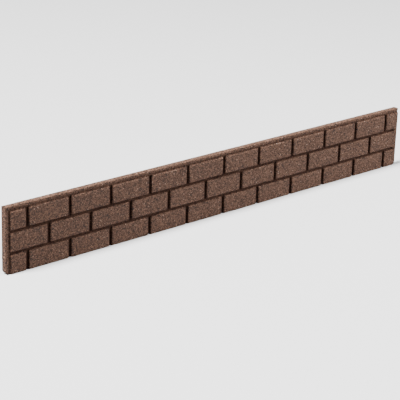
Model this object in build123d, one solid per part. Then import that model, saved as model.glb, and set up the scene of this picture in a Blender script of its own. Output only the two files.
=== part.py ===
from build123d import *
import math
import os

# Garden edging board of recycled rubber, moulded in one piece.
# Its front is three courses of bricks in running bond inside a frame: a rail along
# the top, a rail at the left end, and a plain margin at the right end.
# Frame: X along the board, the brick front faces -Y, +Z up.
# The origin is under the middle of the board, level with its lower edge.
# All sizes are in millimetres.

# Board
length = 1200.0
height = 150.0
thickness = 16.0
lower_corner_radius = 10.0
front_edge_radius = 1.0

# Frame round the brick pattern; the two rails lie a little behind the brick faces
frame_setback = 1.5
top_rail_height = 6.2
top_rail_joint = 4.6
left_rail_width = 6.5
left_rail_joint = 5.0
frame_joint_depth = 3.0
right_margin_width = 9.5

# Brick pattern
course_count = 3
bed_joint = 6.0
head_joint = 7.5
joint_depth = 5.0
brick_pitch = 110.0
first_head_joint = 55.0
shortest_brick = 20.0
wall_draft_angle = 12.0
brick_corner_radius = 3.0
brick_edge_bevel = 1.5

# Raised pads at the rim are made past the outline by this much, then trimmed to it
rim_overhang = 6.0

# Places worked out from the sizes above
left_end = -length / 2
right_end = length / 2
front = -thickness / 2
joint_floor = front + joint_depth
wall_spread = joint_depth * math.tan(math.radians(wall_draft_angle))
field_left = left_end + left_rail_width + left_rail_joint
field_top = height - top_rail_height - top_rail_joint
brick_height = (field_top - (course_count - 1) * bed_joint) / course_count


def outline_slab(front_face, depth):
    """The board's outline, with its two rounded lower corners, from a front plane backwards."""
    outline = Rectangle(length, height, align=(Align.CENTER, Align.MIN))
    lower_corners = outline.vertices().group_by(Axis.Y)[0]
    outline = fillet(lower_corners, lower_corner_radius)
    plane = Plane(origin=(0, front_face, 0), x_dir=(1, 0, 0), z_dir=(0, -1, 0))
    return extrude(plane * outline, -depth)


def rounded_slab(setback):
    """The outline from a plane behind the brick faces to the back, its front edge rounded."""
    slab = outline_slab(front + setback, thickness - setback)
    rim_edges = slab.faces().sort_by(Axis.Y)[0].edges()
    return fillet(rim_edges, front_edge_radius)


def raised_pad(x_start, x_end, z_start, z_end):
    """One raised rectangle of the front, given at the front plane, with drafted walls."""
    width = x_end - x_start + 2 * wall_spread
    tall = z_end - z_start + 2 * wall_spread
    middle = ((x_start + x_end) / 2, joint_floor, (z_start + z_end) / 2)
    plane = Plane(origin=middle, x_dir=(1, 0, 0), z_dir=(0, -1, 0))
    foot = RectangleRounded(width, tall, brick_corner_radius + wall_spread)
    pad = extrude(plane * foot, joint_depth, taper=wall_draft_angle)
    face_edges = pad.faces().sort_by(Axis.Y)[0].edges()
    return chamfer(face_edges, brick_edge_bevel)


def head_joint_centres(course):
    """Where the upright joints of one course are; every second course is half a brick over."""
    shift = brick_pitch / 2 if course % 2 else 0.0
    centres = []
    place = left_end + first_head_joint + shift
    while place < right_end - right_margin_width - shortest_brick:
        centres.append(place)
        place += brick_pitch
    return centres


def course_span(course):
    """Bottom and top of one course, counted from the top one, at the front plane."""
    top = field_top - course * (brick_height + bed_joint)
    bottom = top - brick_height
    if course == course_count - 1:
        bottom = -rim_overhang
    return bottom, top


def brick_pads():
    """Every brick of every course; the last one of a course runs into the right margin."""
    pads = []
    for course in range(course_count):
        bottom, top = course_span(course)
        start = field_left
        for centre in head_joint_centres(course):
            pads.append(raised_pad(start, centre - head_joint / 2, bottom, top))
            start = centre + head_joint / 2
        pads.append(raised_pad(start, right_end + rim_overhang, bottom, top))
    return pads


def right_margin():
    """The plain strip at the right end; the last brick of every course runs into it."""
    start = right_end - right_margin_width
    return raised_pad(start, right_end + rim_overhang, -rim_overhang, field_top)


def rails():
    """The top rail and the left rail, made as high as the bricks."""
    far_left = left_end - rim_overhang
    above = height + rim_overhang
    top_rail = raised_pad(far_left, right_end + rim_overhang, height - top_rail_height, above)
    left_rail = raised_pad(far_left, left_end + left_rail_width, -rim_overhang, above)
    return [top_rail, left_rail]


def frame_joint_floors():
    """The shallower floors of the joint under the top rail and the joint beside the left rail."""
    deep = joint_depth - frame_joint_depth
    tall = top_rail_joint + 2 * wall_spread
    wide = left_rail_joint + 2 * wall_spread
    top_middle = (0, joint_floor, field_top + top_rail_joint / 2)
    left_foot = (field_left - left_rail_joint / 2, joint_floor, 0)
    top_floor = Box(length, deep, tall, align=(Align.CENTER, Align.MAX, Align.CENTER))
    left_floor = Box(wide, deep, height, align=(Align.CENTER, Align.MAX, Align.MIN))
    return [Pos(top_middle) * top_floor, Pos(left_foot) * left_floor]


def edging_board():
    """The bricks and the frame, each trimmed to its own rounded outline, on one backing."""
    backing = outline_slab(joint_floor, thickness - joint_depth)
    bricks = backing.fuse(right_margin(), *brick_pads())
    frame = backing.fuse(*frame_joint_floors(), *rails())
    board = (bricks & rounded_slab(0)).fuse(frame & rounded_slab(frame_setback))
    return board.clean()


os.makedirs("parts", exist_ok=True)
board = edging_board()
export_step(board, "parts/edging_board.step")
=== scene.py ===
import math
import bpy
import numpy as np
from mathutils import Matrix, Vector, noise


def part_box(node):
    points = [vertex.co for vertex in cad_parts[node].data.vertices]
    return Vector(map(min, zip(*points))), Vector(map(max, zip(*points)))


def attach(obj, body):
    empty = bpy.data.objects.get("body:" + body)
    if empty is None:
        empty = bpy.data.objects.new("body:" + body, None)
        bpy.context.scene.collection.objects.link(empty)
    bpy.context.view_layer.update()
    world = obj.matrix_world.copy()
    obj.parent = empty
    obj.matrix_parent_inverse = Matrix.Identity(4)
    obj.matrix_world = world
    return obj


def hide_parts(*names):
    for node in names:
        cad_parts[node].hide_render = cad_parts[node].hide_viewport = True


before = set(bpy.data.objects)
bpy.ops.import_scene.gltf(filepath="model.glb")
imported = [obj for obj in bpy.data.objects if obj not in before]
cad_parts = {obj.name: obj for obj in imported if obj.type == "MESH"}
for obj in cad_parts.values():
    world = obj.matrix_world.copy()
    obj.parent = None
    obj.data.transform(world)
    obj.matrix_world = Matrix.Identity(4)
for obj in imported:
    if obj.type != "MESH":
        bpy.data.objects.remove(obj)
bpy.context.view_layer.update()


# Edging board
# One straight garden edging board, compression-moulded from recycled tyre crumb and a
# brown-tinted polyurethane binder. The mould gives the brick front, the frame round it
# and the flat back in one pressing; nothing is fixed to it.
mm = 0.001
low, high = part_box("edging_board")
left_end, right_end = low[0], high[0]
front, back = low[1], high[1]
height = high[2]
lower_corner_radius = 10.0 * mm
rim_radius = 0.8 * mm
arris_radius = 2.6 * mm
back_edge_radius = 0.4 * mm

# Frame round the brick pattern; its two rails lie a little behind the brick faces
frame_setback = 1.5 * mm
top_rail_height = 6.2 * mm
top_rail_joint = 4.6 * mm
left_rail_width = 6.5 * mm
left_rail_joint = 5.0 * mm
frame_joint_depth = 3.0 * mm
right_margin_width = 9.5 * mm

# Brick pattern, its courses counted from the top one
course_count = 3
bed_joint = 6.0 * mm
head_joint = 7.5 * mm
joint_depth = 5.0 * mm
brick_pitch = 110.0 * mm
first_head_joint = 55.0 * mm
shortest_brick = 20.0 * mm
wall_draft_angle = math.radians(12.0)
brick_corner_radius = 3.0 * mm

# Places worked out from the sizes above, and how far the raised faces pass the outline
wall_spread = joint_depth * math.tan(wall_draft_angle)
field_left = left_end + left_rail_width + left_rail_joint
field_top = height - top_rail_height - top_rail_joint
brick_height = (field_top - (course_count - 1) * bed_joint) / course_count
past_the_rim = 8.0 * mm

# Crumbs: how wide and how deep, how steep their sides are, and how much they differ
crumb_size = 2.0 * mm
crumb_relief = 0.35 * mm
crumb_steepness = 3.5
usual_crumb_height = 0.75
crumb_height_spread = 0.5
crumb_noise_scale = 5.1

# Mesh lines: their usual and least distance, where they cross an arris or an edge face,
# and how many rows of the front one row of the back takes in
even_step = 2.5 * mm
least_step = 0.1 * mm
arris_shares = (0.0, 0.12, 0.4, 1.0)
edge_face_shares = (0.2, 0.4, 0.6, 0.8, 1.0)
back_row_step = 6


def head_joint_centres(course):
    """Where the upright joints of a course are; every second course is half a brick over."""
    place = left_end + first_head_joint
    if course % 2:
        place += brick_pitch / 2
    centres = []
    while place < right_end - right_margin_width - shortest_brick:
        centres.append(place)
        place += brick_pitch
    return centres


def raised_faces():
    """Each raised rectangle of the front: its setback, then x and z from, and x and z to."""
    below = -past_the_rim
    above = height + past_the_rim
    far_left = left_end - past_the_rim
    far_right = right_end + past_the_rim
    faces = [(frame_setback, far_left, height - top_rail_height, far_right, above),
             (frame_setback, far_left, below, left_end + left_rail_width, above),
             (0.0, right_end - right_margin_width, below, far_right, field_top)]
    for course in range(course_count):
        top = field_top - course * (brick_height + bed_joint)
        bottom = top - brick_height if course < course_count - 1 else below
        start = field_left
        for centre in head_joint_centres(course):
            faces.append((0.0, start, bottom, centre - head_joint / 2, top))
            start = centre + head_joint / 2
        faces.append((0.0, start, bottom, far_right, top))
    return faces


def inside_distance(x, z, x_from, z_from, x_to, z_to, radius):
    """How far a point lies inside a rectangle with rounded corners; negative outside it."""
    over_x = np.abs(x - (x_from + x_to) / 2) - (x_to - x_from) / 2 + radius
    over_z = np.abs(z - (z_from + z_to) / 2) - (z_to - z_from) / 2 + radius
    past_corner = np.hypot(np.maximum(over_x, 0), np.maximum(over_z, 0))
    return radius - past_corner - np.minimum(np.maximum(over_x, over_z), 0)


def rounded_edge(inward, radius):
    """How far a surface falls away over a rounded edge, from how far inward it is."""
    outward = radius - np.clip(inward, 0, radius)
    return radius - np.sqrt(radius ** 2 - outward ** 2)


def relief_depth(x, z):
    """How far the moulded front lies behind its highest plane."""
    above = height + past_the_rim + lower_corner_radius
    to_rim = inside_distance(x, z, left_end, 0, right_end, above, lower_corner_radius)
    to_rim = np.minimum(to_rim, height - z)
    depth = np.where((z > field_top) | (x < field_left), frame_joint_depth, joint_depth)
    for setback, *rectangle in raised_faces():
        radius = rim_radius if setback else arris_radius
        inside = inside_distance(x, z, *rectangle, brick_corner_radius)
        arris = np.maximum(rounded_edge(inside, radius), rounded_edge(to_rim, rim_radius))
        down_wall = np.clip(-inside / wall_spread, 0, 1)
        wall = radius + down_wall * (joint_depth - setback - radius)
        depth = np.minimum(depth, setback + np.where(inside > 0, arris, wall))
    return depth


def grid_lines(start, end, joints):
    """Mesh lines across the board: close at joints and rims, in even steps between."""
    edge_steps = [share * arris_radius for share in arris_shares]
    close = [start + step for step in edge_steps] + [end - step for step in edge_steps]
    for centre, width in joints:
        steps = [0, width / 2 - wall_spread, width / 2 - wall_spread / 2]
        steps += [width / 2 + step for step in edge_steps]
        close += [centre - step for step in steps] + [centre + step for step in steps]
    lines = [start]
    for place in sorted(close):
        gap = place - lines[-1]
        if gap < least_step or place > end:
            continue
        step_count = max(1, round(gap / even_step))
        lines += list(np.linspace(lines[-1], place, step_count + 1)[1:])
    return np.array(lines)


def round_lower_corners(x, z):
    """Bend the two lower corners of the square grid to their quarter circles."""
    radius = lower_corner_radius
    down = np.clip((radius - z) / radius, 0, 1)
    for centre, side in ((left_end + radius, -1), (right_end - radius, 1)):
        out = np.clip(side * (x - centre) / radius, 0, 1)
        in_corner = (out > 0) & (down > 0)
        x = np.where(in_corner, centre + side * radius * out * np.sqrt(1 - down ** 2 / 2), x)
        z = np.where(in_corner, radius - radius * down * np.sqrt(1 - out ** 2 / 2), z)
    return x, z


def front_grid():
    """The moulded front as a grid of x, y and z."""
    upright = [(field_left - left_rail_joint / 2, left_rail_joint)]
    upright += [(centre, head_joint) for centre in head_joint_centres(0) + head_joint_centres(1)]
    level = [(field_top + top_rail_joint / 2, top_rail_joint)]
    for course in range(1, course_count):
        centre = field_top - course * (brick_height + bed_joint) + bed_joint / 2
        level.append((centre, bed_joint))
    columns = grid_lines(left_end, right_end, upright)
    rows = grid_lines(0, height, level)
    x, z = round_lower_corners(*np.meshgrid(columns, rows))
    return x, front + relief_depth(x, z), z


def rim_of(grid):
    """The outer entries of a grid, once round, anticlockwise from the lower left."""
    return np.concatenate([grid[0, :-1], grid[:-1, -1], grid[-1, :0:-1], grid[:0:-1, 0]])


def rim_rings(x, y, z):
    """Rings of points from the front's rim, over the edge faces and round the back edge."""
    rim_x, rim_y, rim_z = rim_of(x), rim_of(y), rim_of(z)
    along_x = np.roll(rim_x, -1) - np.roll(rim_x, 1)
    along_z = np.roll(rim_z, -1) - np.roll(rim_z, 1)
    along = np.hypot(along_x, along_z)
    last_flat = back - back_edge_radius
    rings = []
    for share in edge_face_shares:
        rings.append((rim_x, rim_y + (last_flat - rim_y) * share, rim_z))
    for turn in (math.pi / 4, math.pi / 2):
        inward = back_edge_radius * (1 - math.cos(turn))
        ring_y = np.full(rim_x.shape, last_flat + back_edge_radius * math.sin(turn))
        rings.append((rim_x - along_z / along * inward, ring_y, rim_z + along_x / along * inward))
    return rings


def flat_back(x, z, ring, next_index):
    """The back inside the last ring, coarser than the front: its own points, and its faces."""
    last_row, last_column = x.shape[0] - 1, x.shape[1] - 1
    index = np.zeros(x.shape, int)
    index[0, :-1], rest = ring[:last_column], ring[last_column:]
    index[:-1, -1], rest = rest[:last_row], rest[last_row:]
    index[-1, :0:-1], rest = rest[:last_column], rest[last_column:]
    index[:0:-1, 0] = rest

    middle_x, middle_z = (left_end + right_end) / 2, height / 2
    back_x = middle_x + (x - middle_x) * (1 - 2 * back_edge_radius / (right_end - left_end))
    back_z = middle_z + (z - middle_z) * (1 - 2 * back_edge_radius / height)
    rows = list(range(0, last_row, back_row_step)) + [last_row]
    points = []
    for row in rows[1:-1]:
        index[row, 1:-1] = np.arange(next_index, next_index + last_column - 1)
        next_index += last_column - 1
        inner = [back_x[row, 1:-1], np.full(last_column - 1, back), back_z[row, 1:-1]]
        points.append(np.stack(inner, -1))

    faces = []
    for lower, upper in zip(rows, rows[1:]):
        for column in range(last_column):
            near = [index[lower, column], index[upper, column]]
            far = [index[upper, column + 1], index[lower, column + 1]]
            if column == 0:
                near = list(index[lower:upper + 1, 0])
            if column == last_column - 1:
                far = list(index[lower:upper + 1, last_column][::-1])
            faces.append(near + far)
    return points, faces


def board_skin(x, y, z):
    """One closed skin: the front grid, the rings round its rim, and the flat back."""
    points = [np.stack([x, y, z], -1).reshape(-1, 3)]
    index = np.arange(x.size).reshape(x.shape)
    corners = [index[:-1, :-1], index[:-1, 1:], index[1:, 1:], index[1:, :-1]]
    faces = np.stack(corners, -1).reshape(-1, 4).tolist()

    total = x.size
    ring = rim_of(index)
    for ring_points in rim_rings(x, y, z):
        next_ring = np.arange(total, total + len(ring))
        points.append(np.stack(ring_points, -1))
        corners = [ring, next_ring, np.roll(next_ring, -1), np.roll(ring, -1)]
        faces += np.stack(corners, -1).tolist()
        ring = next_ring
        total += len(ring)

    back_points, back_faces = flat_back(x, z, ring, total)
    return np.concatenate(points + back_points), faces + back_faces


def crumb_height(place):
    """0 in the gaps between crumbs, and up to 1 on a crumb that stands proud."""
    distances, centres = noise.voronoi(place / crumb_size)
    dome = min((distances[1] - distances[0]) * crumb_steepness, 1.0)
    own_noise = noise.noise(centres[0] * crumb_noise_scale)
    own_height = usual_crumb_height + crumb_height_spread * own_noise
    return dome * min(own_height, 1.0)


x, y, z = front_grid()
places, faces = board_skin(x, y, z)
mesh = bpy.data.meshes.new("edging_board_crumb")
mesh.from_pydata(places.tolist(), [], faces)
normals = [point.normal.copy() for point in mesh.vertices]
for point, normal in zip(mesh.vertices, normals):
    point.co -= normal * crumb_relief * (1 - crumb_height(point.co))
mesh.shade_smooth()

# How deep each point of the front lies, as a share of a joint's depth, for the painted shade in
# the joints
depth_share = np.zeros(len(places), np.float32)
depth_share[:y.size] = (y.ravel() - front) / joint_depth
in_joint = mesh.attributes.new("in_joint", "FLOAT", "POINT")
in_joint.data.foreach_set("value", depth_share)

board = bpy.data.objects.new("edging_board_crumb", mesh)
bpy.context.collection.objects.link(board)
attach(board, "root")
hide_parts("edging_board")


def linear(hex_colour):
    """An sRGB hex colour as linear red, green, blue and alpha."""
    channels = [int(hex_colour[start:start + 2], 16) / 255 for start in (1, 3, 5)]
    return [c / 12.92 if c <= 0.04045 else ((c + 0.055) / 1.055) ** 2.4 for c in channels] + [1]


def add_node(tree, kind, settings, inputs):
    """Add a node; an input is a value, or a node and the name of its output."""
    node = tree.nodes.new(kind)
    for name, value in settings.items():
        setattr(node, name, value)
    for name, value in inputs.items():
        if isinstance(value, tuple):
            tree.links.new(value[0].outputs[value[1]], node.inputs[name])
        else:
            node.inputs[name].default_value = value
    return node


# Rubber crumb in polyurethane
# Shreds of tyre rubber in a brown binder: dull, every crumb its own shade, with dark pores
# between crumbs and now and then a pale fleck. Down in the joints the colour is darkened
# and the sheen dimmed the deeper a point lies, as painted shade.
crumb_tints = [(0.00, "#140804"), (0.25, "#4A2F22"), (0.60, "#785644"), (0.92, "#8B6854"),
               (0.99, "#9C7762"), (1.00, "#D8B4A0")]
# Painted shade: the dark colour the joints are mixed towards, the more the deeper they go
painted_joint_shade = "#241009"
crumb_roughness = 0.8
rubber_ior = 1.5

# Widths are shares of a crumb, and the painted shade deepens between two shares of a joint's
# depth
pore_width = 0.15
pore_shade = 0.3
joint_shade_from = 0.35
joint_shade_to = 0.8
deepest_joint_shade = 0.75
crumb_shine = 0.35
shine_in_joint_shade = 0.05
dome_width = 0.35
dome_height = 0.35 * crumb_size
bump_strength = 0.8


def rubber_crumb():
    """The material of the whole board: tinted crumbs, pores, painted shade in the joints and a
    crumbly bump.
    """
    material = bpy.data.materials.new("rubber_crumb_in_polyurethane")
    material.use_nodes = True
    tree = material.node_tree
    shader = tree.nodes["Principled BSDF"]
    place = add_node(tree, "ShaderNodeTexCoord", {}, {})
    crumbs = add_node(tree, "ShaderNodeTexVoronoi", {"feature": "F1"},
                      {"Vector": (place, "Object"), "Scale": 1 / crumb_size})
    shade = add_node(tree, "ShaderNodeSeparateColor", {}, {"Color": (crumbs, "Color")})
    tint = add_node(tree, "ShaderNodeValToRGB", {}, {"Fac": (shade, "Red")})
    ramp = tint.color_ramp
    while len(ramp.elements) < len(crumb_tints):
        ramp.elements.new(0.5)
    for element, (stop, colour) in zip(ramp.elements, crumb_tints):
        element.position = stop
        element.color = linear(colour)

    gaps = add_node(tree, "ShaderNodeTexVoronoi", {"feature": "DISTANCE_TO_EDGE"},
                    {"Vector": (place, "Object"), "Scale": 1 / crumb_size})
    pore = add_node(tree, "ShaderNodeMapRange", {},
                    {"Value": (gaps, "Distance"), "From Max": pore_width, "To Min": pore_shade})
    pored = add_node(tree, "ShaderNodeVectorMath", {"operation": "SCALE"},
                     {"Vector": (tint, "Color"), "Scale": (pore, "Result")})

    joint = add_node(tree, "ShaderNodeAttribute", {"attribute_name": "in_joint"}, {})
    # Painted shade in the joints: darker colour and less sheen the deeper a point lies
    painted_shade = add_node(tree, "ShaderNodeMapRange", {"interpolation_type": "SMOOTHSTEP"},
                    {"Value": (joint, "Fac"), "From Min": joint_shade_from,
                     "From Max": joint_shade_to, "To Max": deepest_joint_shade})
    colour = add_node(tree, "ShaderNodeMix", {"data_type": "RGBA"},
                      {"Factor": (painted_shade, "Result"), "A": (pored, "Vector"),
                       "B": linear(painted_joint_shade)})
    shine = add_node(tree, "ShaderNodeMapRange", {},
                     {"Value": (painted_shade, "Result"), "To Min": crumb_shine, "To Max": shine_in_joint_shade})

    dome = add_node(tree, "ShaderNodeMapRange", {},
                    {"Value": (gaps, "Distance"), "From Max": dome_width})
    bump = add_node(tree, "ShaderNodeBump", {},
                    {"Height": (dome, "Result"), "Distance": dome_height,
                     "Strength": bump_strength})
    tree.links.new(colour.outputs["Result"], shader.inputs["Base Color"])
    tree.links.new(shine.outputs["Result"], shader.inputs["Specular IOR Level"])
    tree.links.new(bump.outputs["Normal"], shader.inputs["Normal"])
    shader.inputs["Roughness"].default_value = crumb_roughness
    shader.inputs["IOR"].default_value = rubber_ior
    return material


mesh.materials.append(rubber_crumb())


# Studio floor
# Plain pale paper, far larger than the board, which stands on it by its lower edge. It
# throws no light back on the board, whose lowest bricks are no lighter than the rest.
floor_reach = 40.0
paper_white = (0.8, 0.8, 0.8, 1.0)
paper_roughness = 0.9
floor_mesh = bpy.data.meshes.new("studio_floor")
floor_corners = [(-floor_reach, -floor_reach, 0), (floor_reach, -floor_reach, 0),
                 (floor_reach, floor_reach, 0), (-floor_reach, floor_reach, 0)]
floor_mesh.from_pydata(floor_corners, [], [(0, 1, 2, 3)])
floor = bpy.data.objects.new("studio_floor", floor_mesh)
bpy.context.collection.objects.link(floor)
floor.visible_diffuse = False
paper = bpy.data.materials.new("matt_white_paper")
paper.use_nodes = True
paper_shader = paper.node_tree.nodes["Principled BSDF"]
paper_shader.inputs["Base Color"].default_value = paper_white
paper_shader.inputs["Roughness"].default_value = paper_roughness
floor_mesh.materials.append(paper)


# Studio lights
# A large soft light from above and the left, in line with the board, which brightens the
# top and the left end and only grazes the front, and a softbox in front, well to the
# right, which lights the bricks and the bed joints and leaves the upright joints dark.
key_distance = 8.0
key_from = Vector((-1.75, 0.2, 3.1)).normalized() * key_distance
key_size = 2.2
key_power = 2380.0
softbox_distance = 4.5
softbox_from = Vector((0.55, -0.62, 0.5)).normalized() * softbox_distance
softbox_size = 1.2
softbox_power = 268.0
sky_white = (1.0, 1.0, 1.0, 1.0)
sky_strength = 0.1


def area_light(name, place, size, power):
    """A round lamp that faces the middle of the board."""
    lamp = bpy.data.lights.new(name, "AREA")
    lamp.shape = "DISK"
    lamp.size = size
    lamp.energy = power
    light = bpy.data.objects.new(name, lamp)
    light.location = place + Vector((0, 0, height / 2))
    light.rotation_euler = place.to_track_quat("Z", "Y").to_euler()
    bpy.context.collection.objects.link(light)


area_light("key_light", key_from, key_size, key_power)
area_light("front_softbox", softbox_from, softbox_size, softbox_power)
sky = bpy.data.worlds.new("studio_sky")
sky.use_nodes = True
background = sky.node_tree.nodes["Background"]
background.inputs["Color"].default_value = sky_white
background.inputs["Strength"].default_value = sky_strength
bpy.context.scene.world = sky


# Camera
# The photograph's viewpoint, from the front left and above. The turn, tilt and roll and
# the place come from a pinhole camera fitted to the board's corners and joints.
image_width = 400
focal_pixels = 1525.0
sensor_width = 36.0
farthest_seen = 200.0
turn, tilt, roll = math.radians(-42.18), math.radians(20.25), math.radians(1.92)
top_left_corner = Vector((left_end, front, height))
corner_from_camera = Vector((-395.6, 16.7, 3101.9)) * mm


def board_direction(right, down, ahead):
    """A direction along the board, down it and into it, in the frame's axes."""
    return Vector((right, ahead, -down))


camera_data = bpy.data.cameras.new("camera")
camera_data.sensor_width = sensor_width
camera_data.lens = focal_pixels / image_width * sensor_width
camera_data.clip_end = farthest_seen
camera = bpy.data.objects.new("camera", camera_data)
turned = Matrix.Rotation(tilt, 3, "X") @ Matrix.Rotation(turn, 3, "Y")
rolled = Matrix.Rotation(roll, 3, "Z") @ turned
right, down, ahead = [board_direction(*direction) for direction in rolled]
to_corner = board_direction(*(rolled.transposed() @ corner_from_camera))
camera_axes = Matrix((right, -down, -ahead)).transposed().to_4x4()
camera.matrix_world = Matrix.Translation(top_left_corner - to_corner) @ camera_axes
bpy.context.collection.objects.link(camera)
bpy.context.scene.camera = camera
